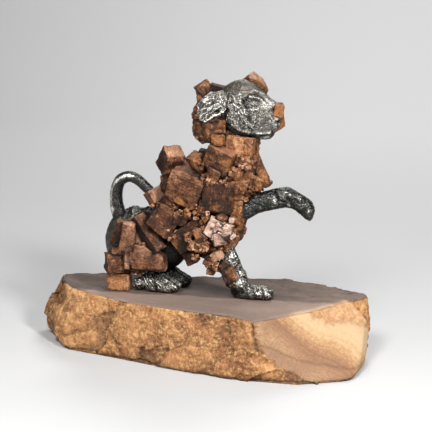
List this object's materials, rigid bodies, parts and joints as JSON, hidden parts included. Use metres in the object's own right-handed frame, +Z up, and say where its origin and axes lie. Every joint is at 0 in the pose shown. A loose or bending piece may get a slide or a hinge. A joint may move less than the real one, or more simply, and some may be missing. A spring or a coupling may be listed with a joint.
{
  "type": "dog figurine",
  "caption": "Puppy sculpture of brown cube crystals with silvered cast head, legs and tail, a forepaw raised, standing on a natural sandstone slab.",
  "frame": {"origin": "centre of the slab's underside, which is the bottom centre of the whole part's box", "axes": "+X along the slab's length, the way the dog looks; +Y to the dog's left; +Z up"},
  "size_m": [0.3284, 0.1388, 0.2645],
  "materials": {
    "sandstone": "rough ochre broken sides, smooth grey-mauve sawn top, banded cream fracture at one end",
    "limonite": "dull rust-brown cube crystals with stepped, chipped faces",
    "pale_crystal": "pinkish tan sparkling crystal crust",
    "silvered_metal": "antiqued silver casting with bright high spots and dark recesses",
    "dark_metal": "near-black patinated casting with worn silver high spots"
  },
  "bodies": {
    "root": {"back_hollow_crystal": "limonite", "back_wedge_crystal": "limonite", "belly_crystal": "limonite", "bright_crystal": "pale_crystal", "brow_crystal": "limonite", "chest_crystal": "limonite", "chest_rock": "limonite", "corner_crystal": "limonite", "crown_crystal": "limonite", "crown_ridge_crystal": "limonite", "flank_crystal": "limonite", "haunch_bar_crystal": "limonite", "haunch_low_crystal": "limonite", "haunch_plate_crystal": "limonite", "head_casting": "silvered_metal", "hindquarters_casting": "dark_metal", "hock_block_crystal": "limonite", "hock_column_crystal": "limonite", "hock_knob_crystal": "limonite", "hock_small_crystal": "limonite", "ledge_crystal": "limonite", "left_back_crystal": "limonite", "left_belly_crystal": "limonite", "left_brisket_crystal": "limonite", "left_cheek_crystal": "limonite", "left_chest_crystal": "limonite", "left_flank_crystal": "limonite", "left_haunch_crystal": "limonite", "left_jaw_crystal": "limonite", "left_saddle_crystal": "limonite", "left_shoulder_crystal": "limonite", "left_thigh_crystal": "limonite", "left_withers_crystal": "limonite", "leg_side_crystal": "limonite", "lower_crystals": "limonite", "lower_pink_crystal": "limonite", "nape_crystal": "limonite", "nape_lower_crystal": "limonite", "nape_orange_crystal": "limonite", "neck_lower_crystal": "limonite", "neck_step_crystal": "limonite", "nose_crystal": "limonite", "orange_crystal": "limonite", "pale_crystals": "pale_crystal", "peak_crystal": "limonite", "planted_foreleg": "silvered_metal", "pocket_crystals": "limonite", "raised_foreleg": "dark_metal", "rough_crystals": "limonite", "rump_sliver_crystal": "limonite", "saddle_crystal": "limonite", "shoulder_crystal": "limonite", "small_back_crystal": "limonite", "stone_base": "sandstone", "tail_end_crystal": "limonite", "tan_crystal": "limonite", "withers_crystal": "limonite"}
  },
  "joints": []
}
